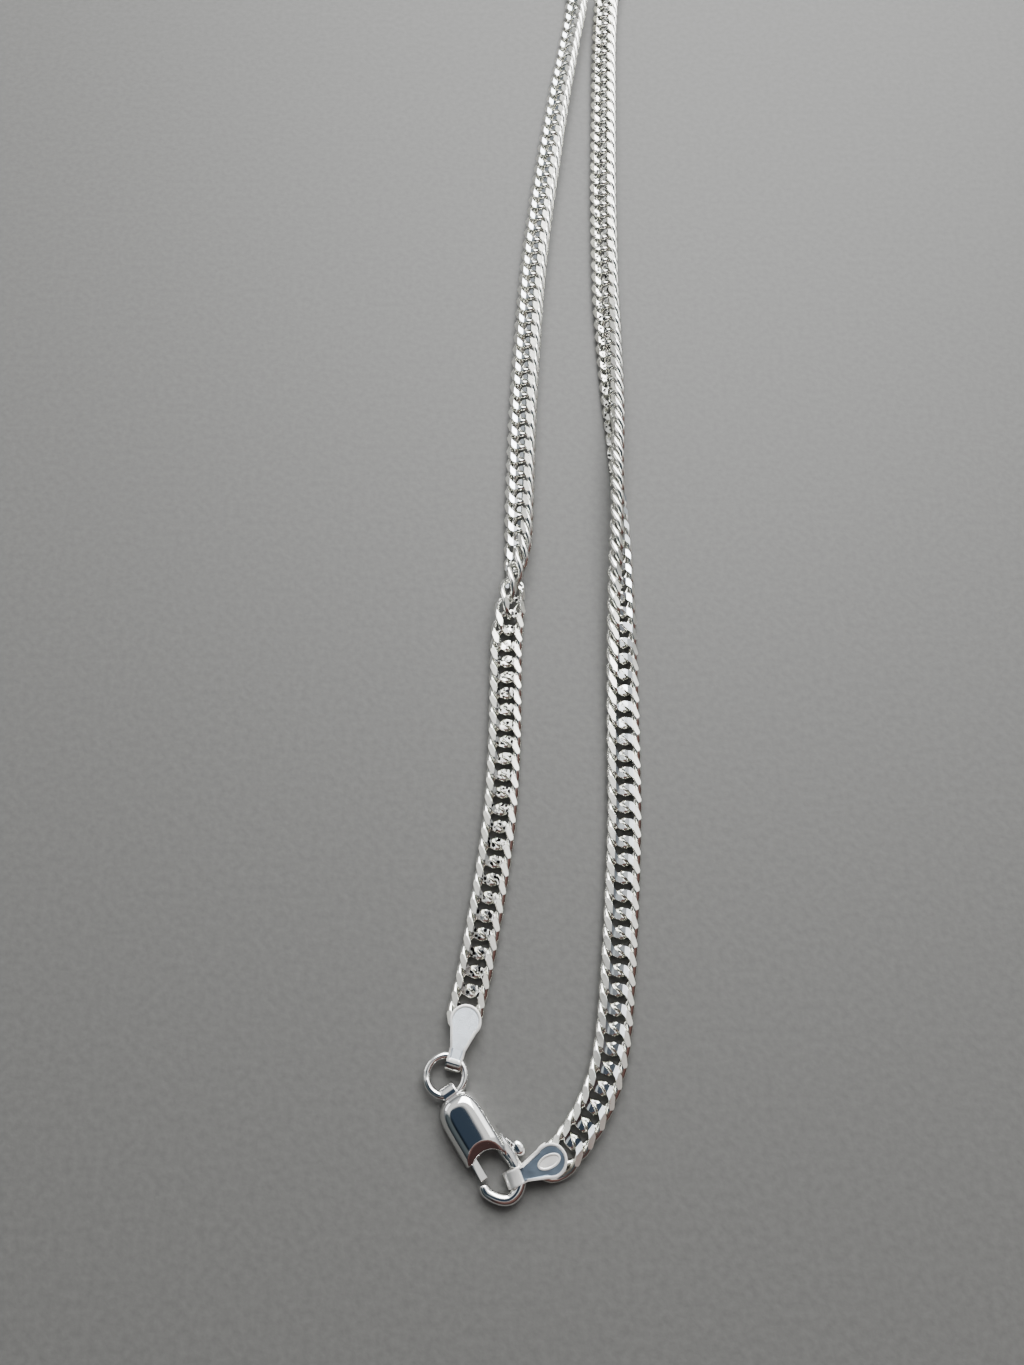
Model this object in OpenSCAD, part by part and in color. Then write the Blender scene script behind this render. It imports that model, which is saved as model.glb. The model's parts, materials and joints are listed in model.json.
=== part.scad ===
/* [Chain] */
// Number of pitches from one end tag to the other, which sets the necklace's length
pitches = 234; // [232:1:238]
// Diameter of the link wire
wire_d = 0.42; // [0.38:0.01:0.43]
// Half the width of a link, to the middle of its wire
link_half_w = 1.58; // [1.57:0.01:1.59]
// Half the length of a link, to the middle of its wire
link_half_l = 2.2; // [2.19:0.01:2.21]
// Radius of the round end of a link
link_end_r = 1.5; // [1.49:0.01:1.51]
// Tilt of each end about the chain's line, which twists the link
link_tilt = 20; // [19.5:0.5:20.5]

/* [End tags] */
// Radius of the tag's round head
tag_head_r = 1.5; // [1.4:0.05:1.6]
// Distance from the middle of the head to where the tapering sides turn parallel
tag_taper_l = 2.6; // [2.4:0.1:2.8]
// Distance from the middle of the head to the outside of the fold
tag_l = 4.5; // [4.4:0.05:4.6]
// Width of the strip at the fold
tag_strip_w = 1.45; // [1.3:0.05:1.5]
// Height of the folded tag over both layers
tag_h = 1.6; // [1.6:0.02:1.7]
// Thickness of the sheet
tag_sheet = 0.25; // [0.2:0.01:0.25]

/* [Jump ring] */
// Outer diameter of the ring
ring_od = 4.3; // [4.2:0.05:4.35]
// Diameter of its wire
ring_wire = 0.72; // [0.6:0.02:0.74]

/* [Clasp] */
// Width of the clasp's body
clasp_w = 4.4; // [4.3:0.05:4.45]
// Height of the domed body
clasp_h = 2.5; // [2.4:0.05:2.6]
// Diameter of the hook's wire
hook_d = 0.94; // [0.88:0.02:0.96]
// Radius of the hook's bend, to the middle of its wire
hook_r = 1.7; // [1.68:0.01:1.72]
// Thickness of the lever
lever_t = 0.7; // [0.6:0.05:0.75]

/* [Hidden] */
curve_fn = 48;
wire_fn = 16;

// The middle of the whole outline on the surface, measured from the point under the camera
middle = [11.65, 90.78];

// The chain's line over the surface, from the ring-side tag round to the hook-side tag.
// Columns: x, y, and the roll of the chain about its own line in degrees.
route = [
    [-4.4, 4.5, 0],
    [-3.6, 8.0, 0],
    [-2.8, 12.5, 0],
    [-2.0, 17.5, 0],
    [-1.2, 24, 0],
    [-0.8, 31, 0],
    [-0.7, 36, 0],
    [-0.65, 41, 1],
    [-0.55, 43.5, 8],
    [-0.35, 45.5, 26],
    [-0.1, 47.5, 54],
    [0.25, 50, 92],
    [0.55, 52.4, 122],
    [0.75, 55, 139],
    [0.85, 59, 148],
    [1.0, 64, 150],
    [1.3, 72, 150],
    [1.8, 81, 150],
    [2.5, 91, 150],
    [3.5, 101, 150],
    [4.8, 111, 148],
    [6.2, 121, 142],
    [7.8, 131, 136],
    [8.9, 138, 136],
    [9.2, 143, 140],
    [8.0, 148, 146],
    [5.0, 153, 154],
    [0.5, 157.5, 164],
    [-3.8, 163, 172],
    [-6.2, 169.5, 178],
    [-6.3, 177, 180],
    [-3.8, 183.3, 180],
    [1.0, 188.6, 180],
    [7.5, 191.8, 180],
    [14.5, 191.9, 180],
    [21.2, 189.4, 180],
    [26.4, 184.6, 181],
    [29.4, 178, 182],
    [29.6, 170.5, 183],
    [27.0, 163.5, 185],
    [22.6, 157.5, 189],
    [18.2, 152.6, 194],
    [15.2, 147.6, 199],
    [13.6, 142, 204],
    [13.0, 136, 208],
    [12.6, 129, 210],
    [12.3, 120, 210],
    [11.8, 105, 210],
    [11.6, 90, 214],
    [11.7, 84, 221],
    [11.8, 79, 230],
    [11.9, 74, 241],
    [12.0, 69, 254],
    [12.0, 64, 269],
    [12.1, 59, 285],
    [12.1, 54, 301],
    [12.0, 49, 317],
    [11.9, 44, 331],
    [11.8, 39, 344],
    [11.7, 34, 355],
    [11.6, 28, 360],
    [11.5, 24, 360],
    [11.2, 19, 360],
    [10.7, 12.5, 360],
    [10.2, 7, 360],
    [9.6, 2.0, 360],
    [8.8, -1.4, 360],
    [7.5, -4.3, 360],
    [5.9, -6.7, 360],
    [4.4, -8.4, 360]
];
steps = 8;

// Where each tag's head, the ring and the clasp's eye lie
tag_ring_at = [-4.4, 3.44];
tag_ring_turn = -105.6;
tag_hook_at = [3.54, -8.6];
tag_hook_turn = -156.4;
ring_at = [-6.2, -1.4];
clasp_at = [-5.33, -3.12];
clasp_turn = -56.5;

// A smooth curve through the route's rows, and how far along it each step lies
function row(i) = route[max(0, min(len(route) - 1, i))];
function smooth(i, t) =
    0.5 * (2 * row(i) + (row(i + 1) - row(i - 1)) * t
    + (2 * row(i - 1) - 5 * row(i) + 4 * row(i + 1) - row(i + 2)) * t * t
    + (3 * row(i) - row(i - 1) - 3 * row(i + 1) + row(i + 2)) * t * t * t);
trail = [for (i = [0 : (len(route) - 1) * steps]) smooth(floor(i / steps), i / steps - floor(i / steps))];
function gap(i) = i + 1 < len(trail) ? norm([trail[i + 1].x - trail[i].x, trail[i + 1].y - trail[i].y]) : 0;
along = [for (i = 0, s = 0; i < len(trail); s = s + gap(i), i = i + 1) s];
way = [for (k = [0 : 2]) [for (i = [0 : len(trail) - 1]) [along[i], trail[i][k]]]];
function at(s) = [lookup(s, way[0]), lookup(s, way[1])];
function roll(s) = lookup(s, way[2]);
pitch = along[len(along) - 1] / pitches;
function heading(s) = let (d = at(s + pitch / 2) - at(s - pitch / 2)) atan2(d.y, d.x);

// A link's four arcs: the ends turn this far each way in tilted planes, and the sides join them
link_end_half = 68;
knee = [
    link_end_r * sin(link_end_half) * cos(link_tilt),
    link_half_l - link_end_r * (1 - cos(link_end_half)),
    link_end_r * sin(link_end_half) * sin(link_tilt)
];
side_chord = norm([knee.y, knee.z]);
side_rise = link_half_w - knee.x;
side_r = (side_chord * side_chord + side_rise * side_rise) / (2 * side_rise);
side_half = asin(side_chord / side_r);
side_tilt = atan2(knee.z, knee.y);
rest_gap = 0.02;

// Height of the chain's middle where it lies rolled by this angle
function lift(a) =
    let (low = min(side_half, atan2(sin(side_tilt) * abs(cos(a)), abs(sin(a)))))
    (link_half_w - side_r + side_r * cos(low)) * abs(sin(a))
    + side_r * sin(low) * sin(side_tilt) * abs(cos(a)) + wire_d / 2 + rest_gap;

// Tags: the last two links at each end are soldered in
soldered = 2;
tag_core_to = 2.2;
tag_inset = 0.35;

// Jump ring: tipped a little, so that it passes the tag's fold low and the clasp's eye higher
ring_r = (ring_od - ring_wire) / 2;
ring_z = 0.95;
ring_tip = -4.8;

// Clasp, in its own frame: x runs from the eye to the hook, y to the knob's side
clasp_mid = -0.25;
clasp_end_x = 2.1;
clasp_front_x = 5.85;
dome_r = 2.7;
eye_z = 1.1;
eye_slot_r = 0.48;
eye_wall = 0.3;
eye_x = [-0.55, -0.18];
eye_y = [-1.0, 0.5];
arch_at = [7.3, -0.55];
arch_r = 1.65;
arch_wall = 0.45;
limb_x = 6.9;
limb_y = 0.4;
hook_at = [8.4, -0.25];
hook_z = 0.8;
hook_sweep = 198;
pivot = [4.3, -0.1];
pin_d = 0.6;
hub_d = 1.6;
hub_bore_d = 0.76;
cavity_h = 1.3;
side_wall = 0.4;
hollow_x = 0.65;
lever_z = 0.5;
window_z = 0.4;

module on_surface() {
    translate([-middle.x, -middle.y, 0]) children();
}

// One of a link's four arcs, of the given radius and half angle, about its own middle
module wire_arc(r, half) {
    rotate([0, 0, -half]) rotate_extrude(angle = 2 * half, $fn = curve_fn)
        translate([r, 0]) circle(d = wire_d, $fn = wire_fn);
}

// Links from first to last, each one threaded through the next two
module links(first, last) {
    for (i = [first : last], turn = [0, 180], end = [true, false])
        translate([at(i * pitch).x, at(i * pitch).y, lift(roll(i * pitch))])
            rotate([0, 0, heading(i * pitch) - 90]) rotate([0, roll(i * pitch), 0]) rotate([0, 0, turn])
            translate(end ? [0, link_half_l - link_end_r, 0] : [link_half_w - side_r, 0, 0])
            rotate(end ? [0, -link_tilt, 0] : [side_tilt, 0, 0]) rotate([0, 0, end ? 90 : 0])
            wire_arc(end ? link_end_r : side_r, end ? link_end_half : side_half);
}

module chain_left() {
    color("silver") on_surface() links(soldered, floor(pitches / 2));
}

module chain_right() {
    color("silver") on_surface() links(floor(pitches / 2) + 1, pitches - soldered);
}

// One layer of a tag: a round head with tapering sides, drawn in by the given amount
module tag_layer(height, inset, to) {
    head = tag_head_r - inset;
    strip = tag_strip_w / 2 - inset;
    cylinder(r = head, h = height, $fn = curve_fn);
    linear_extrude(height) polygon([
        [0, -head * 0.9], [head / 3, -head * 0.92], [tag_taper_l, -strip], [to, -strip],
        [to, strip], [tag_taper_l, strip], [head / 3, head * 0.92], [0, head * 0.9]
    ]);
}

// A teardrop of sheet folded back under itself, with the last two links soldered between its layers
module folded_tag() {
    fold_x = tag_l - tag_h / 2;
    tag_layer(tag_sheet, 0, fold_x);
    translate([0, 0, tag_h - tag_sheet]) tag_layer(tag_sheet, 0, fold_x);
    translate([0, 0, tag_sheet / 2]) tag_layer(tag_h - tag_sheet, tag_inset, tag_core_to);
    translate([fold_x, tag_strip_w / 2, tag_h / 2]) rotate([90, 0, 0]) rotate([0, 0, -90])
        rotate_extrude(angle = 180, $fn = curve_fn)
        translate([tag_h / 2 - tag_sheet, 0]) square([tag_sheet, tag_strip_w]);
}

module tag_ring_side() {
    color("gainsboro") on_surface() {
        translate([tag_ring_at.x, tag_ring_at.y, 0]) rotate([0, 0, tag_ring_turn]) folded_tag();
        links(0, soldered - 1);
    }
}

module tag_hook_side() {
    color("gainsboro") on_surface() {
        translate([tag_hook_at.x, tag_hook_at.y, 0]) rotate([0, 0, tag_hook_turn]) folded_tag();
        links(pitches - soldered + 1, pitches);
    }
}

module jump_ring() {
    color("silver") on_surface() translate([ring_at.x, ring_at.y, ring_z]) rotate([ring_tip, 0, 0])
        rotate_extrude($fn = curve_fn) translate([ring_r, 0]) circle(d = ring_wire, $fn = wire_fn);
}

module in_clasp_frame() {
    on_surface() translate([clasp_at.x, clasp_at.y, 0]) rotate([0, 0, clasp_turn]) children();
}

// Section across the body: flat underneath, straight sides and a domed top
module body_section(from) {
    intersection() {
        translate([0, clasp_h - dome_r]) circle(r = dome_r, $fn = 2 * curve_fn);
        translate([from, 0]) square([clasp_w / 2 - from, clasp_h + 1]);
    }
}

// A bar with the body's section that ends in half a turn of it
module body_bar() {
    translate([clasp_end_x, clasp_mid, 0]) {
        rotate([0, 0, 90]) rotate_extrude(angle = 180, $fn = 2 * curve_fn) body_section(0);
        rotate([90, 0, 90]) linear_extrude(limb_x - clasp_end_x) body_section(-clasp_w / 2);
    }
}

// The hollow underside that the lever turns in
module hollow() {
    reach = clasp_w / 2 - side_wall;
    length = clasp_front_x - side_wall - clasp_end_x;
    translate([clasp_end_x, clasp_mid, -1]) difference() {
        union() {
            rotate([0, 0, 90]) rotate_extrude(angle = 180, $fn = 2 * curve_fn) square([reach, cavity_h + 1]);
            translate([0, -reach, 0]) cube([length, 2 * reach, cavity_h + 1]);
        }
        translate([hollow_x - clasp_end_x - 3, -clasp_w, -1]) cube([3, 2 * clasp_w, 4]);
        translate([arch_at.x - clasp_end_x, arch_at.y - clasp_mid, -1])
            cylinder(r = arch_r + arch_wall, h = 4, $fn = curve_fn);
    }
}

// A round-ended slot or lug across the clasp, for the jump ring
module across(r, from, to) {
    for (end = [0, 1]) translate([eye_x[end], to, eye_z]) rotate([90, 0, 0]) rotate([0, 0, end ? -90 : 90])
        rotate_extrude(angle = 180, $fn = curve_fn) square([r, to - from]);
    translate([eye_x[0], from, eye_z - r]) cube([eye_x[1] - eye_x[0], to - from, 2 * r]);
}

// The hook's limb tapers out of the body and turns round to a blunt tip by the gate
module hook() {
    limb_r = 0.56;
    limb_from = 6.35;
    tip_turn = 90 - hook_sweep;
    translate([limb_from, hook_at.y + hook_r, hook_z]) rotate([0, 90, 0])
        cylinder(r1 = limb_r, r2 = hook_d / 2, h = hook_at.x - limb_from, $fn = curve_fn);
    translate([hook_at.x, hook_at.y, hook_z]) {
        difference() {
            rotate_extrude($fn = 2 * curve_fn) translate([hook_r, 0]) circle(d = hook_d, $fn = 2 * wire_fn);
            translate([0, 0, -1]) linear_extrude(2) polygon([
                [0, 0], [0, 4], [-4, 4], [-4, -4], [4 * cos(tip_turn), 4 * sin(tip_turn)]
            ]);
        }
        rotate([0, 0, tip_turn]) translate([hook_r, 0, 0]) sphere(d = hook_d + 0.05, $fn = curve_fn);
    }
}

module clasp_body() {
    color("silver") in_clasp_frame() {
        difference() {
            union() {
                body_bar();
                across(eye_slot_r + eye_wall, eye_y[0], eye_y[1]);
            }
            // The mouth: the front left is cut back, and the arch runs round into the limb
            translate([clasp_front_x, -5 + limb_y, -1]) cube([3, 5, 5]);
            translate([arch_at.x, arch_at.y, -1]) cylinder(r = arch_r, h = 5, $fn = curve_fn);
            across(eye_slot_r, -clasp_w, clasp_w);
            hollow();
            // Windows for the knob's arm and for the gate
            translate([4.2, 0.8, window_z]) cube([2.1, 1.9, cavity_h - window_z]);
            translate([4.9, -2.05, window_z]) cube([1.1, 1.55, cavity_h - window_z]);
        }
        hook();
        translate([pivot.x, pivot.y, 0.3]) cylinder(d = pin_d, h = cavity_h, $fn = curve_fn);
    }
}

module clasp_lever() {
    color("gainsboro") in_clasp_frame() translate([0, 0, lever_z]) difference() {
        union() {
            translate(pivot) cylinder(d = hub_d, h = lever_t, $fn = curve_fn);
            // Gate, from the hub to the tip of the hook
            linear_extrude(lever_t) polygon([
                [3.9, -0.5], [3.9, -1.95], [7.2, -1.95], [7.2, -1.25], [4.9, -1.25], [4.9, -0.5]
            ]);
            // Arm and knob
            linear_extrude(lever_t) polygon([
                [4.05, 0], [4.55, -0.2], [6.3, 2.2], [7.15, 2.12], [7.0, 2.98], [6.0, 2.75]
            ]);
            translate([7.15, 2.55, 0]) cylinder(r = 0.52, h = lever_t, $fn = curve_fn);
        }
        translate([pivot.x, pivot.y, -1]) cylinder(d = hub_bore_d, h = 3, $fn = curve_fn);
    }
}

chain_left();
chain_right();
tag_ring_side();
tag_hook_side();
jump_ring();
clasp_body();
clasp_lever();
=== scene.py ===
import bpy
import json
import math
from mathutils import Matrix, Vector

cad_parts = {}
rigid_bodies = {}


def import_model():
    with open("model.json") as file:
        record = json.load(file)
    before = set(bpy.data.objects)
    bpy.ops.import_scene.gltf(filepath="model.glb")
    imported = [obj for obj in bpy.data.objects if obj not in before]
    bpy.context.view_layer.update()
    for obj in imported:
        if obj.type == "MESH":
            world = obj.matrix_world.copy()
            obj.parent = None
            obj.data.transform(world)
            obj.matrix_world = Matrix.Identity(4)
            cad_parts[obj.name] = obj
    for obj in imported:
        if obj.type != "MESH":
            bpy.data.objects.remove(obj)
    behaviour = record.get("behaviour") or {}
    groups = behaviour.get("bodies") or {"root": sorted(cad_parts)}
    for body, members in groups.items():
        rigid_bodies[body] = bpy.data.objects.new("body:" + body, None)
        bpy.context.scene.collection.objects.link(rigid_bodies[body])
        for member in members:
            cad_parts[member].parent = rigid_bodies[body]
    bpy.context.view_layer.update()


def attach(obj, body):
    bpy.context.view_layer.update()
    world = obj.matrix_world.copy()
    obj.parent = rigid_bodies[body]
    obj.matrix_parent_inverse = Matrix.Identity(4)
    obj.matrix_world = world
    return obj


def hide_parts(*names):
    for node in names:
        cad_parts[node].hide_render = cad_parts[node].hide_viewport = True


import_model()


# ---------------------------------------------------------------- the view
# The necklace lies on a plain pale table and is seen from just above its clasp, at arm's length
# of a phone: the camera looks steeply down and a little away, so both strands run up the picture.
mm = 0.001

# Places are in millimetres from the point under the camera; the necklace's middle lies here from it.
middle = Vector((11.65, 90.78, 0)) * mm
camera_height = 103.6
camera_tilt = math.radians(20.2)

bpy.ops.object.camera_add(
    location=Vector((0, 0, camera_height)) * mm - middle, rotation=(camera_tilt, 0, 0)
)
camera = bpy.context.object
camera.name = "view"
camera.data.lens = 27.03
camera.data.sensor_width = 36
camera.data.clip_start = 0.002
bpy.context.scene.camera = camera

bpy.ops.mesh.primitive_plane_add(size=1.6, location=(0, 0.1, -0.00002))
table = bpy.context.object
table.name = "table"


def new_material(name, colour, metal, rough):
    material = bpy.data.materials.new(name)
    material.use_nodes = True
    shader = material.node_tree.nodes["Principled BSDF"]
    shader.inputs["Base Color"].default_value = (*colour, 1)
    shader.inputs["Metallic"].default_value = metal
    shader.inputs["Roughness"].default_value = rough
    return material, shader


def add_node(material, kind, **settings):
    made = material.node_tree.nodes.new(kind)
    for key, value in settings.items():
        if key in made.inputs:
            made.inputs[key].default_value = value
        else:
            setattr(made, key, value)
    return made


# The table's paint has a fine orange-peel grain.
paint, shader = new_material("pale_paint", (0.088, 0.088, 0.085), 0, 0.6)
place = add_node(paint, "ShaderNodeTexCoord")
grain = add_node(paint, "ShaderNodeTexNoise", Scale=1400, Detail=3)
tone = add_node(paint, "ShaderNodeValToRGB")
tone.color_ramp.elements[0].position = 0.3
tone.color_ramp.elements[0].color = (0.082, 0.082, 0.079, 1)
tone.color_ramp.elements[1].position = 0.7
tone.color_ramp.elements[1].color = (0.1, 0.1, 0.096, 1)
peel = add_node(paint, "ShaderNodeBump", Strength=0.25, Distance=0.0001)
links = paint.node_tree.links
links.new(place.outputs["Object"], grain.inputs["Vector"])
links.new(grain.outputs["Fac"], tone.inputs["Fac"])
links.new(tone.outputs["Color"], shader.inputs["Base Color"])
links.new(grain.outputs["Fac"], peel.inputs["Height"])
links.new(peel.outputs["Normal"], shader.inputs["Normal"])
table.data.materials.append(paint)

# The room: a soft bright ceiling, a dark blue patch overhead, a brown one on the near side and a grey one
# between them on the left.
ceiling = (
    (0.0, (0.14, 0.15, 0.16)), (0.25, (0.34, 0.35, 0.37)), (0.6, (0.9, 0.91, 0.91)), (1.0, (1, 0.99, 0.97)),
)
blue_patch = ((0.9, (1, 1, 1)), (0.945, (0.035, 0.052, 0.08)))
brown_patch = ((0.48, (1, 1, 1)), (0.66, (0.2, 0.11, 0.1)))
grey_patch = ((0.8, (1, 1, 1)), (0.9, (0.1, 0.12, 0.13)))

world = bpy.data.worlds.new("room")
bpy.context.scene.world = world
world.use_nodes = True
sky = world.node_tree
direction = sky.nodes.new("ShaderNodeTexCoord")
glow = None
for toward, stops in (
    ((0, 0, 1), ceiling), ((-0.22, -0.12, 0.97), blue_patch),
    ((0.45, -0.87, 0.2), brown_patch), ((-0.68, -0.52, 0.5), grey_patch),
):
    facing = sky.nodes.new("ShaderNodeVectorMath")
    facing.operation = "DOT_PRODUCT"
    facing.inputs[1].default_value = Vector(toward).normalized()
    tones = sky.nodes.new("ShaderNodeValToRGB")
    for k, (position, colour) in enumerate(stops):
        stop = tones.color_ramp.elements[k] if k < 2 else tones.color_ramp.elements.new(position)
        stop.position = position
        stop.color = (*colour, 1)
    sky.links.new(direction.outputs["Generated"], facing.inputs[0])
    sky.links.new(facing.outputs["Value"], tones.inputs["Fac"])
    if glow is None:
        glow = tones.outputs["Color"]
    else:
        blend = sky.nodes.new("ShaderNodeMix")
        blend.data_type = "RGBA"
        blend.blend_type = "MULTIPLY"
        blend.inputs["Factor"].default_value = 1
        sky.links.new(glow, blend.inputs["A"])
        sky.links.new(tones.outputs["Color"], blend.inputs["B"])
        glow = blend.outputs["Result"]
sky.links.new(glow, sky.nodes["Background"].inputs["Color"])
sky.nodes["Background"].inputs["Strength"].default_value = 0.95

# A soft light hangs beyond the necklace, with a weak one to its right and one low on the left.
for name, at, size, power in (
    ("window_light", (0.04, 0.26, 0.32), (0.38, 0.38), 5.4),
    ("right_light", (0.24, 0.15, 0.29), (0.3, 0.3), 0.6),
    ("side_light", (-0.3, 0.06, 0.12), (0.2, 0.1), 0.15),
):
    bpy.ops.object.light_add(type="AREA", location=at)
    light = bpy.context.object
    light.name = name
    light.rotation_euler = (-Vector(at)).to_track_quat("-Z", "Y").to_euler()
    light.data.shape = "RECTANGLE"
    light.data.size, light.data.size_y = size
    light.data.energy = power


# ---------------------------------------------------------------- the chain
# Flat double-curb links: a round silver wire bent to an oval, twisted so that its two ends tilt
# opposite ways, threaded through the next two links, then cut flat on both faces with a diamond.

# Where the chain lies, from the left tag round to the right one: x, y and its roll in degrees.
route = [
    (-4.4, 4.5, 0), (-3.6, 8.0, 0), (-2.8, 12.5, 0), (-2.0, 17.5, 0), (-1.2, 24, 0), (-0.8, 31, 0),
    (-0.7, 36, 0), (-0.65, 41, 1), (-0.55, 43.5, 8), (-0.35, 45.5, 26), (-0.1, 47.5, 54), (0.25, 50, 92),
    (0.55, 52.4, 122), (0.75, 55, 139), (0.85, 59, 148), (1.0, 64, 150), (1.3, 72, 150), (1.8, 81, 150),
    (2.5, 91, 150), (3.5, 101, 150), (4.8, 111, 148), (6.2, 121, 142), (7.8, 131, 136), (8.9, 138, 136),
    (9.2, 143, 140), (8.0, 148, 146), (5.0, 153, 154), (0.5, 157.5, 164), (-3.8, 163, 172),
    (-6.2, 169.5, 178), (-6.3, 177, 180), (-3.8, 183.3, 180), (1.0, 188.6, 180), (7.5, 191.8, 180),
    (14.5, 191.9, 180), (21.2, 189.4, 180), (26.4, 184.6, 181), (29.4, 178, 182), (29.6, 170.5, 183),
    (27.0, 163.5, 185), (22.6, 157.5, 189), (18.2, 152.6, 194), (15.2, 147.6, 199), (13.6, 142, 204),
    (13.0, 136, 208), (12.6, 129, 210), (12.3, 120, 210), (11.8, 105, 210), (11.6, 90, 214),
    (11.7, 84, 221), (11.8, 79, 230), (11.9, 74, 241), (12.0, 69, 254), (12.0, 64, 269), (12.1, 59, 285),
    (12.1, 54, 301), (12.0, 49, 317), (11.9, 44, 331), (11.8, 39, 344), (11.7, 34, 355), (11.6, 28, 360),
    (11.5, 24, 360), (11.2, 19, 360), (10.7, 12.5, 360), (10.2, 7, 360), (9.6, 2.0, 360), (8.8, -1.4, 360),
    (7.5, -4.3, 360), (5.9, -6.7, 360), (4.4, -8.4, 360),
]
pitches = 234
trail_steps = 8

# A link: its wire's radius and the reach of the wire's middle line. It rests on its edge or on the
# corner of its ground face, so far out and up from its middle.
link_wire = 0.36
half_width, half_length = 1.47, 2.2
link_edge = 1.82
corner_out, corner_up = 1.1, 0.72


def smooth_point(i, t):
    """The place a share t of the way from one point of the route to the next, on a smooth line."""
    a, b, c, d = (Vector(route[max(0, min(len(route) - 1, i + k))]) for k in (-1, 0, 1, 2))
    return 0.5 * (
        2 * b + (c - a) * t + (2 * a - 5 * b + 4 * c - d) * t * t + (3 * b - a - 3 * c + d) * t ** 3
    )


# The route drawn smooth, and how far along it each of its points is
trail = [
    smooth_point(k // trail_steps, k / trail_steps - k // trail_steps)
    for k in range((len(route) - 1) * trail_steps + 1)
]
along = [0.0]
for k in range(1, len(trail)):
    along.append(along[-1] + (trail[k].xy - trail[k - 1].xy).length)
pitch = along[-1] / pitches


def on_route(s):
    """The place and roll at s millimetres along the trail, which runs straight on past both ends."""
    if s < 0:
        return trail[0] + (trail[1] - trail[0]) * s / along[1]
    if s > along[-1]:
        return trail[-1] + (trail[-1] - trail[-2]) * (s - along[-1]) / (along[-1] - along[-2])
    k = max(i for i in range(len(along)) if along[i] <= s + 1e-9)
    k = min(k, len(trail) - 2)
    return trail[k].lerp(trail[k + 1], (s - along[k]) / (along[k + 1] - along[k]))


def link_place(i):
    """Where link i lies: turned along the trail, rolled, and lifted so that it rests on the table."""
    here = on_route(i * pitch)
    ahead = on_route(i * pitch + pitch / 2) - on_route(i * pitch - pitch / 2)
    roll = math.radians(here.z)
    lean, level = abs(math.sin(roll)), abs(math.cos(roll))
    height = 0.02 + max(link_edge * lean, corner_out * lean + corner_up * level)
    spot = Vector((here.x, here.y, height)) * mm - middle
    turn = math.atan2(ahead.y, ahead.x) - math.pi / 2
    return Matrix.Translation(spot) @ Matrix.Rotation(turn, 4, "Z") @ Matrix.Rotation(roll, 4, "Y")


def pick(test, faces=False):
    """Selects, in edit mode, the points whose place in millimetres passes the test, or the faces
    whose middle and normal do."""
    bpy.ops.mesh.select_mode(type="FACE" if faces else "VERT")
    bpy.ops.mesh.select_all(action="DESELECT")
    bpy.ops.object.mode_set(mode="OBJECT")
    shape = bpy.context.object.data
    for item in shape.polygons if faces else shape.vertices:
        item.select = bool(test(item.center / mm, item.normal) if faces else test(item.co / mm))
    bpy.ops.object.mode_set(mode="EDIT")


def shift(x=0, y=0, z=0):
    bpy.ops.transform.translate(value=(x * mm, y * mm, z * mm))


def stretch(x=1, y=1, z=1, about=(0, 0, 0)):
    bpy.ops.transform.resize(value=(x, y, z), center_override=[c * mm for c in about])


def face_outward():
    """Turns every face of the piece in hand outward."""
    bpy.ops.mesh.select_all(action="SELECT")
    bpy.ops.mesh.normals_make_consistent(inside=False)


def finish_with(kind, **settings):
    """Adds a modifier to the piece in hand and applies it."""
    if bpy.context.object.mode == "EDIT":
        bpy.ops.object.mode_set(mode="OBJECT")
    step = bpy.context.object.modifiers.new(kind.lower(), kind)
    for key, value in settings.items():
        setattr(step, key, value)
    bpy.ops.object.modifier_apply(modifier=step.name)


def lay_aside():
    """Leaves the piece in hand, with nothing selected."""
    if bpy.context.object and bpy.context.object.mode == "EDIT":
        bpy.ops.object.mode_set(mode="OBJECT")
    bpy.ops.object.select_all(action="DESELECT")


def start_block(name, low, high):
    lay_aside()
    bpy.ops.mesh.primitive_cube_add(size=mm, location=(0, 0, 0))
    bpy.context.object.name = name
    bpy.ops.object.mode_set(mode="EDIT")
    stretch(*(b - a for a, b in zip(low, high)))
    shift(*((a + b) / 2 for a, b in zip(low, high)))
    return bpy.context.object


def carve(shape, tool, operation="DIFFERENCE"):
    """Cuts a shape with a tool, or adds the tool to it, and uses the tool up."""
    lay_aside()
    shape.select_set(True)
    bpy.context.view_layer.objects.active = shape
    finish_with("BOOLEAN", operation=operation, object=tool, solver="EXACT")
    bpy.data.objects.remove(tool)


def bend(point, at, lean):
    """Puts a point of a wire's curve at a place, its handles leaning this far to either side."""
    point.handle_left_type = point.handle_right_type = "FREE"
    point.co = Vector(at) * mm
    point.handle_left = (Vector(at) - Vector(lean)) * mm
    point.handle_right = (Vector(at) + Vector(lean)) * mm


# One link: a round wire on a closed curve, its four bends set so that it clears its neighbours.
bpy.ops.curve.primitive_bezier_circle_add(radius=mm, location=(0, 0, 0))
curve = bpy.context.object.data
for point, at, lean in zip(
    curve.splines[0].bezier_points,
    ((-half_width, 0, 0), (0, half_length, 0), (half_width, 0, 0), (0, -half_length, 0)),
    ((0, 0.95, -0.7), (0.85, 0, 0.65), (0, -0.95, -0.7), (-0.85, 0, 0.65)),
):
    bend(point, at, lean)
curve.twist_mode = "Z_UP"
curve.resolution_u = 4
curve.bevel_depth = link_wire * mm
curve.bevel_resolution = 2
bpy.ops.object.convert(target="MESH")
link = bpy.context.object
link.name = "link"

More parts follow.
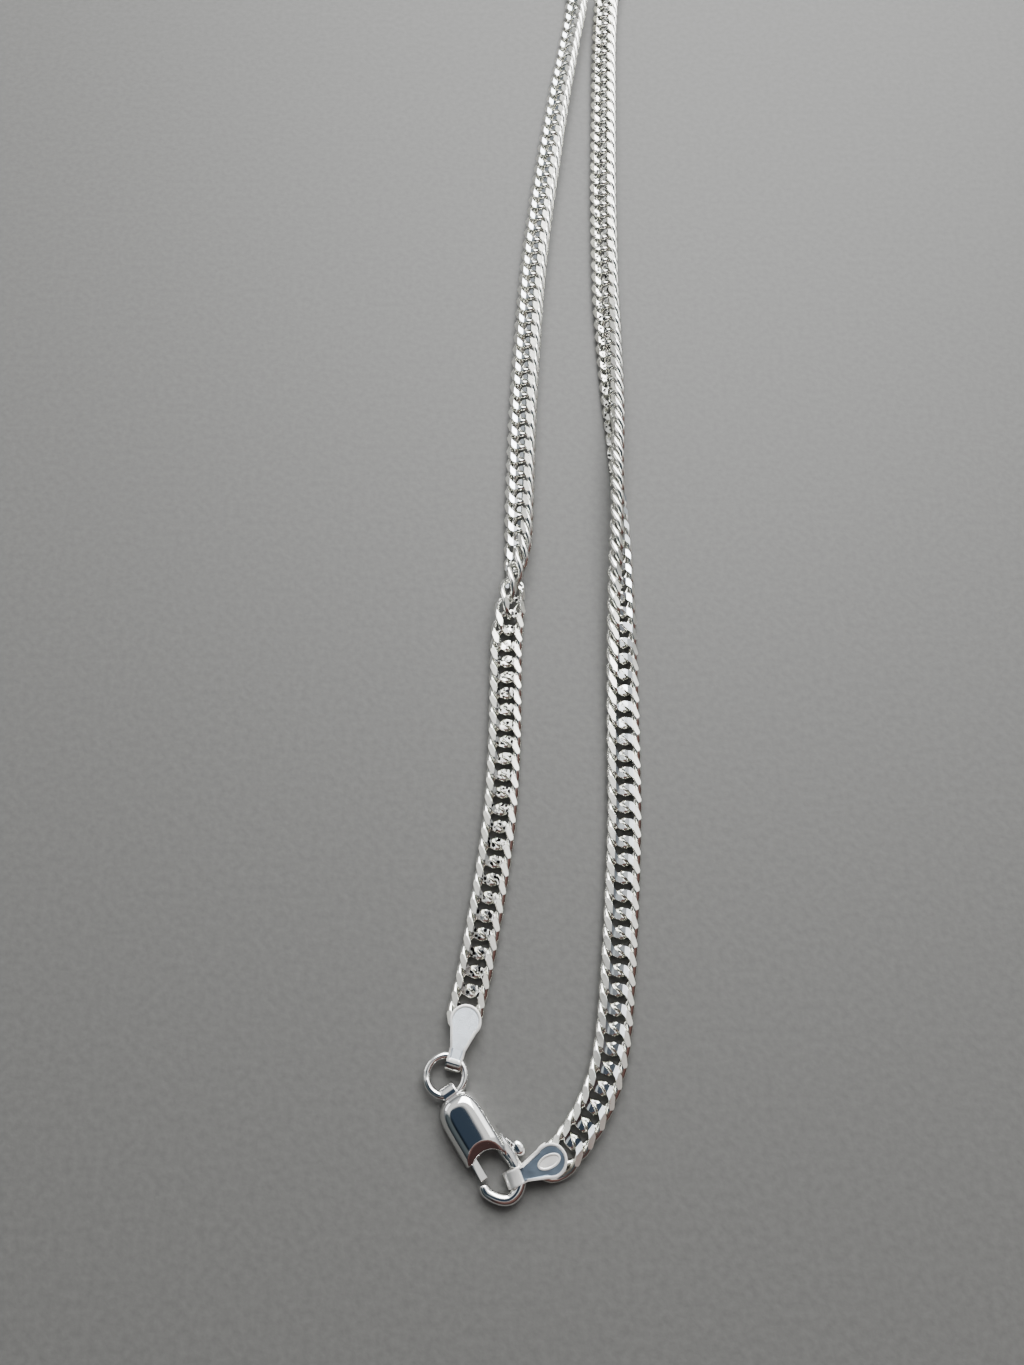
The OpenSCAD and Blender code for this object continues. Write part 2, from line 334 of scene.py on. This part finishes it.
# Ground on both faces, falling away to the outsides
bpy.ops.object.mode_set(mode="EDIT")
for side, outward in ((1, 1), (1, -1), (-1, 1), (-1, -1)):
    bpy.ops.mesh.select_all(action="SELECT")
    bpy.ops.mesh.bisect(
        plane_co=(1.15 * outward * mm, 0, 0.67 * side * mm), plane_no=(0.25 * outward, 0, 0.97 * side),
        use_fill=True, clear_outer=True, threshold=1e-7,
    )
face_outward()

# Cut again inside that, from each face down to the hole, with a tool that widens outward
for low, high in ((0.36, 1.36), (-1.36, -0.36)):
    trough = start_block("trough", (-0.475, -3, low), (0.475, 3, high))
    pick(lambda p: abs(p.z) > 1)
    stretch(x=3.6)
    carve(link, trough)


def silver(name, colour, rough, scratch, coarse=900):
    """A silver whose gloss is cloudy at the coarse scale, with scratches nine times finer."""
    made, shader = new_material(name, colour, 1, rough)
    place = add_node(made, "ShaderNodeTexCoord")
    cloud = add_node(made, "ShaderNodeTexNoise", Scale=coarse, Detail=4)
    spread = add_node(made, "ShaderNodeMapRange")
    spread.inputs["To Min"].default_value = rough * 0.6
    spread.inputs["To Max"].default_value = rough * 1.5
    lines = add_node(made, "ShaderNodeTexNoise", Scale=coarse * 9, Detail=2)
    dent = add_node(made, "ShaderNodeBump", Strength=scratch, Distance=0.00002)
    links = made.node_tree.links
    links.new(place.outputs["Object"], cloud.inputs["Vector"])
    links.new(place.outputs["Object"], lines.inputs["Vector"])
    links.new(cloud.outputs["Fac"], spread.inputs["Value"])
    links.new(spread.outputs["Result"], shader.inputs["Roughness"])
    links.new(lines.outputs["Fac"], dent.inputs["Height"])
    links.new(dent.outputs["Normal"], shader.inputs["Normal"])
    return made


wire_silver = silver("wire_silver", (0.86, 0.86, 0.81), 0.13, 0.1)
ground_silver = silver("ground_silver", (0.86, 0.855, 0.79), 0.3, 0.12)
# The smooth diamond-cut inner facets, face up on the right strand, get a darker blue-grey colour that is a
# painted reflection.
cut_blue_reflection_silver = silver("cut_blue_reflection_silver", (0.74, 0.78, 0.8), 0.1, 0.06)

# The inner cuts of one face are pricked all over with a pin; each pin pit is painted near black as painted
# shade in the pit.
pricked_silver = silver("pricked_silver", (0.85, 0.85, 0.84), 0.2, 0.1)
shader = pricked_silver.node_tree.nodes["Principled BSDF"]
place = add_node(pricked_silver, "ShaderNodeTexCoord")
cells = add_node(pricked_silver, "ShaderNodeTexVoronoi", Scale=2400)
pit_shade = add_node(pricked_silver, "ShaderNodeValToRGB")
pit_shade.color_ramp.elements[0].position = 0.42
pit_shade.color_ramp.elements[0].color = (0.02, 0.02, 0.02, 1)
pit_shade.color_ramp.elements[1].position = 0.47
pit_shade.color_ramp.elements[1].color = (0.86, 0.86, 0.81, 1)
pits = add_node(pricked_silver, "ShaderNodeBump", Strength=0.45, Distance=0.00005)
links = pricked_silver.node_tree.links
links.new(place.outputs["Object"], cells.inputs["Vector"])
links.new(cells.outputs["Distance"], pit_shade.inputs["Fac"])
links.new(pit_shade.outputs["Color"], shader.inputs["Base Color"])
links.new(cells.outputs["Distance"], pits.inputs["Height"])
links.new(pits.outputs["Normal"], shader.inputs["Normal"])

# A link's wire stays round, its ground slopes face outward and its inner cuts face its middle.
for material in (wire_silver, ground_silver, pricked_silver, cut_blue_reflection_silver):
    link.data.materials.append(material)
on_wire, on_ground, on_pricked, on_cut = range(4)
for face in link.data.polygons:
    flat = abs(face.normal.y) < 0.01
    tilt, outward = abs(face.normal.z), face.normal.x * face.center.x
    if flat and 0.9 < tilt < 0.99 and outward > 0:
        face.material_index = on_ground
    elif flat and tilt > 0.5 and outward < 0.1 * mm:
        face.material_index = on_pricked if face.normal.z > 0 else on_cut
    face.use_smooth = face.material_index == on_wire


def lay_links(numbers, flip):
    """Copies of the link at these places; flip turns the pricked face down."""
    laid = []
    for i in numbers:
        copy = link.copy()
        copy.data = link.data.copy()
        bpy.context.collection.objects.link(copy)
        copy.matrix_world = link_place(i) @ Matrix.Rotation(math.pi if flip else 0, 4, "Y")
        laid.append(copy)
    return laid


def join(parts, name):
    """Joins parts into one piece whose own place is the middle of the frame."""
    bpy.ops.object.select_all(action="DESELECT")
    for part in parts:
        part.select_set(True)
    bpy.context.view_layer.objects.active = parts[0]
    bpy.ops.object.join()
    bpy.ops.object.transform_apply(location=True, rotation=True, scale=True)
    parts[0].name = name
    return parts[0]


# The low side of a link that leans over is worn flat where it rests on the table.
half = pitches // 2
for name, numbers, flip in (
    ("chain_left", range(2, half + 1), False), ("chain_right", range(half + 1, pitches - 1), True)
):
    strand = join(lay_links(numbers, flip), name + "_links")
    bpy.ops.object.mode_set(mode="EDIT")
    pick(lambda p: p.z < 0)
    stretch(z=0)
    bpy.ops.object.mode_set(mode="OBJECT")
    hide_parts(name)
    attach(strand, "necklace")


# ---------------------------------------------------------------- the end tags
# Each tag is a teardrop of silver sheet folded back under itself into a loop, with a pressed rim
# round its sunk face. The last two links are soldered between its two layers.
left_place = (-4.4, 3.44, 0, -105.6)
right_place = (3.54, -8.6, 0, -156.4)
tag_height = 1.6
sheet_thick = 0.25
round_end = 1.5
strip_from = 2.6


def pull(x=0, y=0, z=0):
    bpy.ops.mesh.extrude_region_move(TRANSFORM_OT_translate={"value": (x * mm, y * mm, z * mm)})


def soften(width, segments, angle):
    """Rounds the edges of the piece in hand that turn by more than the angle, in degrees."""
    finish_with(
        "BEVEL", width=width * mm, segments=segments, limit_method="ANGLE", angle_limit=math.radians(angle)
    )


def start_circle(radius, corners, name):
    lay_aside()
    bpy.ops.mesh.primitive_circle_add(
        vertices=corners, radius=radius * mm, fill_type="NGON", location=(0, 0, 0)
    )
    bpy.context.object.name = name
    bpy.ops.object.mode_set(mode="EDIT")
    return bpy.context.object


rim_silver = silver("rim_silver", (0.97, 0.96, 0.93), 0.42, 0.15)

# The left tag's face is frosted and its fold is polished; the right tag's face is smooth and its fold is
# dull.
# The right face's dark steel-blue colour is a painted reflection of the dark room overhead.
# The left face's frosted grain is its own; its pale blue tint is a painted reflection.
grained_blue_reflection_silver = silver("grained_blue_reflection_silver", (0.76, 0.82, 0.88), 0.5, 0.9, 1500)
dark_reflection_silver = silver("dark_reflection_silver", (0.19, 0.24, 0.3), 0.34, 0.4, 1500)


def folded_tag(name, face_silver, fold_silver, fold_from, rim_end):
    """A tag with its round end round the origin and a fold that starts at fold_from, and its solder."""
    # The top layer: a disc drawn out to a strip
    sheet_middle = tag_height - sheet_thick / 2
    sheet = start_circle(round_end, 32, name)
    shift(z=sheet_middle)
    pick(lambda p: p.x > 0.7 * round_end)
    stretch(x=0, y=0.68)
    shift(x=strip_from)
    pick(lambda p: p.x > strip_from - 0.05)
    pull(x=fold_from - rim_end - strip_from)
    pull(x=rim_end)

    # Bent down and back into a loop, with the under layer a copy of the top one
    pick(lambda p: p.x > fold_from - 0.05)
    bpy.ops.mesh.spin(
        steps=8, angle=-math.pi, center=(fold_from * mm, 0, tag_height / 2 * mm), axis=(0, 1, 0)
    )
    pick(lambda c, n: c.z > sheet_middle - 0.005 and c.x < fold_from - 0.01, faces=True)
    bpy.ops.mesh.duplicate()
    stretch(z=-1, about=(0, 0, tag_height / 2))
    bpy.ops.mesh.select_all(action="SELECT")
    bpy.ops.mesh.remove_doubles(threshold=1e-6)
    bpy.ops.mesh.normals_make_consistent(inside=False)
    finish_with("SOLIDIFY", thickness=sheet_thick * mm, offset=0)

    # The face sunk inside its rim, up to rim_end short of the fold
    bpy.ops.object.mode_set(mode="EDIT")
    pick(lambda c, n: c.z > tag_height - 0.1 and n.z > 0.9 and c.x < fold_from - rim_end, faces=True)
    bpy.ops.mesh.inset(thickness=0.22 * mm, use_even_offset=False)
    bpy.ops.mesh.inset(thickness=0.05 * mm, depth=-0.09 * mm, use_even_offset=False)
    bpy.ops.mesh.inset(thickness=0.06 * mm, use_even_offset=False)
    bpy.ops.mesh.select_more()
    bpy.ops.object.mode_set(mode="OBJECT")
    for material in (rim_silver, face_silver, fold_silver):
        sheet.data.materials.append(material)
    on_rim, on_face, on_fold = range(3)
    for face in sheet.data.polygons:
        past_fold = face.center.x > fold_from * mm
        face.material_index = on_face if face.select else on_fold if past_fold else on_rim
    soften(0.05, 2, 50)
    bpy.ops.object.shade_smooth_by_angle(angle=math.radians(32))

    # The solder between the layers
    solder = start_circle(1.15, 24, name + "_solder")
    shift(z=0.2)
    pick(lambda p: p.x > 0.8)
    stretch(x=0, y=0.5)
    shift(x=2.2)
    bpy.ops.mesh.select_all(action="SELECT")
    pull(z=1.2)
    face_outward()
    soften(0.12, 2, 50)
    solder.data.materials.append(rim_silver)
    return [sheet, solder]


def set_down(parts, x, y, z, turn, tip=0):
    """Lays parts at a place, turned on the table and tipped about their length, in degrees."""
    place = Matrix.Translation(Vector((x, y, z)) * mm - middle)
    place = place @ Matrix.Rotation(math.radians(turn), 4, "Z") @ Matrix.Rotation(math.radians(tip), 4, "X")
    for part in parts:
        part.matrix_world = place @ part.matrix_world


tag_left = folded_tag("tag_left", grained_blue_reflection_silver, wire_silver, 3.9, 0.12)
set_down(tag_left, *left_place)
tag_left = join(tag_left + lay_links((0, 1), False), "tag_left")

# The right one has a raised blank oval with a lip of its own.
tag_right = folded_tag("tag_right", dark_reflection_silver, rim_silver, 3.7, 0.55)
oval = start_circle(1, 32, "blank_oval")
stretch(x=1.12, y=0.62)
shift(x=0.2, z=tag_height - 0.1)
pull(z=0.09)
bpy.ops.mesh.inset(thickness=0.16 * mm, depth=0)
bpy.ops.mesh.inset(thickness=0.04 * mm, depth=-0.035 * mm)
face_outward()
soften(0.02, 2, 40)
oval.data.materials.append(rim_silver)
set_down(tag_right + [oval], *right_place)
tag_right = join(tag_right + [oval] + lay_links((pitches - 1, pitches), True), "tag_right")

for piece, node in ((tag_left, "tag_ring_side"), (tag_right, "tag_hook_side")):
    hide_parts(node)
    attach(piece, "necklace")


# ---------------------------------------------------------------- the jump ring
# A ring of round silver wire, filed down a little where it is soldered shut. It passes through the
# left tag's fold and the clasp's eye.
ring_radius = 1.79
ring_wire = 0.36

polished_silver = silver("polished_silver", (0.93, 0.93, 0.91), 0.07, 0.06)
lay_aside()
bpy.ops.mesh.primitive_torus_add(
    major_segments=72, minor_segments=16, major_radius=ring_radius * mm, minor_radius=ring_wire * mm,
    location=(0, 0, 0),
)
ring = bpy.context.object
ring.name = "jump_ring_wire"
bpy.ops.object.mode_set(mode="EDIT")
pick(lambda p: p.x < -1.2 and abs(p.y) < 0.3 and p.z > 0.2)
shift(z=-0.03)
bpy.ops.object.mode_set(mode="OBJECT")
bpy.ops.object.shade_smooth()
ring.data.materials.append(polished_silver)
set_down([ring], -6.2, -1.4, 0.95, 0, tip=-4.8)
bpy.ops.object.transform_apply(location=True, rotation=True, scale=True)
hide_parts("jump_ring")
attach(ring, "necklace")


# ---------------------------------------------------------------- the clasp's body
# A cast and polished lobster clasp: a domed shell, hollow underneath, with a lug at one end that is
# slotted across for the ring. Its right side runs on as a limb that bends round to make the hook.
clasp_place = (-5.33, -3.12, 0, -56.5)

# The clasp lies along x from its eye. The shell's middle line is at this y.
shell_line = -0.25
mouth_x, mouth_y = 7.3, -0.55
pin_x, pin_y = 4.3, -0.1
eye_x, eye_z = -0.37, 1.1
hollow_top = 1.3


def start_round(name, radius, depth, at, across=False, top_radius=None):
    """A round bar or, with a top radius, a cone: upright, or lying across the clasp."""
    lay_aside()
    bpy.ops.mesh.primitive_cone_add(
        vertices=64, radius1=radius * mm, radius2=(top_radius or radius) * mm, depth=depth * mm,
        location=(0, 0, 0), rotation=(math.pi / 2 if across else 0, 0, 0),
    )
    bpy.ops.object.transform_apply(location=True, rotation=True, scale=True)
    bpy.context.object.name = name
    bpy.ops.object.mode_set(mode="EDIT")
    shift(*at)
    return bpy.context.object


# The shell's section: flat underneath, steep sides and a broad crown
body = start_circle(2.2, 24, "clasp_shell")
bpy.ops.transform.rotate(value=math.pi / 2, orient_axis="Y", center_override=(0, 0, 0))
for low, high, rise in (
    (2.19, 2.3, 0.22), (2.1, 2.15, 0.275), (1.85, 1.95, 0.425), (1.5, 1.6, 0.59),
    (1.0, 1.2, 0.65), (0.5, 0.6, 0.58), (-0.01, 0.01, 0.45),
):
    pick(lambda p: low < p.z < high)
    shift(z=rise)
pick(lambda p: p.z < -0.01)
stretch(z=0)

# Drawn out from the eye's end to the hook's: how far along, and its share of the width and height
last_x, last_width, last_height = -0.1, 0.25, 0.5
bpy.ops.mesh.select_all(action="SELECT")
stretch(y=last_width, z=last_height)
shift(x=last_x, y=shell_line)
for x, width, height in (
    (0.0, 0.5, 0.7), (0.2, 0.68, 0.83), (0.6, 0.83, 0.94), (1.2, 0.94, 0.985),
    (2.0, 1.0, 1.0), (3.2, 1.0, 1.0), (4.4, 1.0, 1.0), (5.2, 1.0, 0.98),
    (6.0, 0.99, 0.9), (6.7, 0.96, 0.74), (7.3, 0.9, 0.56),
):
    pull(x=x - last_x)
    stretch(y=width / last_width, z=height / last_height, about=(0, shell_line, 0))
    last_x, last_width, last_height = x, width, height
face_outward()
finish_with("SUBSURF", levels=2, render_levels=2)

# The mouth: an arch with a sloping lip, and the front left cut back beside it on a slope
carve(body, start_round("arch_cutter", 1.6, 4, (mouth_x, mouth_y, 1.0), top_radius=2.0))
carve(body, start_round("lip_cutter", 1.6, 1.4, (mouth_x - 0.15, mouth_y, 2.3), top_radius=3.4))
front = start_block("front_cutter", (5.85, -4, -1), (9, 0.2, 1.5))
pick(lambda c, n: n.z > 0.9, faces=True)
pull(z=2)
pick(lambda p: p.z > 2 and p.x < 8)
shift(x=-2.55)
carve(body, front)

# The limb and hook: one tapering round bar bent to a blunt tip
lay_aside()
bpy.ops.curve.primitive_bezier_curve_add(radius=mm, location=(0, 0, 0))
bar = bpy.context.object
bar.name = "hook_bar"
bends = bar.data.splines[0]
bends.bezier_points.add(4)
for point, (at, lean, thick) in zip(bends.bezier_points, (
    ((5.2, 1.3, 0.9), (0.5, 0.12, 0), 0.8),
    ((6.9, 1.47, 0.84), (0.5, 0.02, 0), 0.66),
    ((8.4, 1.45, 0.8), (0.94, 0, 0), 0.55),
    ((10.1, -0.25, 0.8), (0, -0.94, 0), 0.56),
    ((8.4, -1.95, 0.8), (-0.3, -0.02, 0), 0.52),
    ((7.8, -1.84, 0.8), (-0.2, 0.09, 0), 0.45),
)):
    bend(point, at, lean)
    point.radius = thick
bar.data.dimensions = "3D"
bar.data.bevel_depth = mm
bar.data.bevel_resolution = 6
bar.data.use_fill_caps = True
bpy.ops.object.convert(target="MESH")
carve(body, bar, "UNION")

# The slotted lug
lug = start_round("lug", 0.7, 1.4, (0, shell_line, 0), across=True)
stretch(x=1.25)
shift(x=eye_x, z=eye_z)
carve(body, lug, "UNION")
eye_slot = start_round("eye_slot", 0.45, 9, (0, 0, 0), across=True)
stretch(x=1.385)
shift(x=eye_x, z=eye_z)
carve(body, eye_slot)

# The hollow underside, with openings for the gate and for the knob's arm
hollow = start_block("hollow", (0.65, -2.05, -1), (5.45, 1.55, hollow_top))
pick(lambda p: p.x < 1)
stretch(y=0.6, about=(0, shell_line, 0))
carve(hollow, start_round("arch_wall", 2.1, 6, (mouth_x, mouth_y, 0)))
carve(body, hollow)
carve(body, start_block("arm_window", (4.2, 0.9, -0.5), (6.3, 2.7, hollow_top)))
carve(body, start_block("gate_window", (4.9, -2.05, 0.4), (6.0, -0.5, hollow_top)))
carve(body, start_round("pivot_pin", 0.3, 1.3, (pin_x, pin_y, 0.95)), "UNION")

# Cast in one and tumbled, so every edge is soft
finish_with("REMESH", mode="VOXEL", voxel_size=0.06 * mm)
finish_with("SMOOTH", factor=0.5, iterations=9)
bpy.ops.object.shade_smooth()
body.data.materials.append(polished_silver)
set_down([body], *clasp_place)
bpy.ops.object.transform_apply(location=True, rotation=True, scale=True)
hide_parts("clasp_body")
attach(body, "necklace")


# ---------------------------------------------------------------- the clasp's lever
# One flat silver piece that turns on the pin: the gate closes the hook's mouth, and an arm goes
# out through the side of the shell to a rounded thumb knob.
lever_low, lever_high = 0.5, 1.2
knob_middle = (7.0, 2.5, 0.85)

# The hub, a disc round the pin
hub = start_circle(0.8, 24, "lever_hub")
shift(x=pin_x, y=pin_y, z=lever_low)
pull(z=lever_high - lever_low)
face_outward()
soften(0.06, 2, 40)

# The gate, narrowing past the hub and dropping a little to its inner edge
gate = start_block("gate", (3.9, -1.9, lever_low), (4.9, -0.5, lever_high))
pick(lambda c, n: n.x > 0.9, faces=True)
stretch(y=0.5, about=(0, -1.9, 0.83))
pull(x=2.6)
pick(lambda p: p.z > 1 and p.y > -1.4 and p.x > 4.8)
shift(z=-0.14)
soften(0.07, 3, 40)

# The arm, out beside the shell and then along it, and the knob on its end
arm = start_block("arm", (4.03, -0.05, lever_low), (4.57, 0.45, lever_high))
pick(lambda c, n: n.y > 0.9, faces=True)
pull(x=1.6, y=1.55)
pull(x=0.75, y=0.3)
soften(0.08, 3, 40)

knob = start_circle(0.55, 24, "knob")
stretch(x=1.3, y=0.95)
shift(x=6.98, y=2.48, z=lever_low)
pull(z=0.4)
stretch(x=1.02, y=1.03, about=knob_middle)
pull(z=0.2)
stretch(x=0.9, y=0.86, about=knob_middle)
bpy.ops.mesh.inset(thickness=0.14 * mm, depth=0.07 * mm)
bpy.ops.mesh.inset(thickness=0.2 * mm, depth=0.05 * mm)
face_outward()
soften(0.06, 3, 30)

parts = [hub, gate, arm, knob]
for part in parts:
    part.data.materials.append(polished_silver)
set_down(parts, *clasp_place)
lever = join(parts, "lever_and_gate")
bpy.ops.object.shade_smooth_by_angle(angle=math.radians(40))
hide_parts("clasp_lever")
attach(lever, "lever")

bpy.data.objects.remove(link)
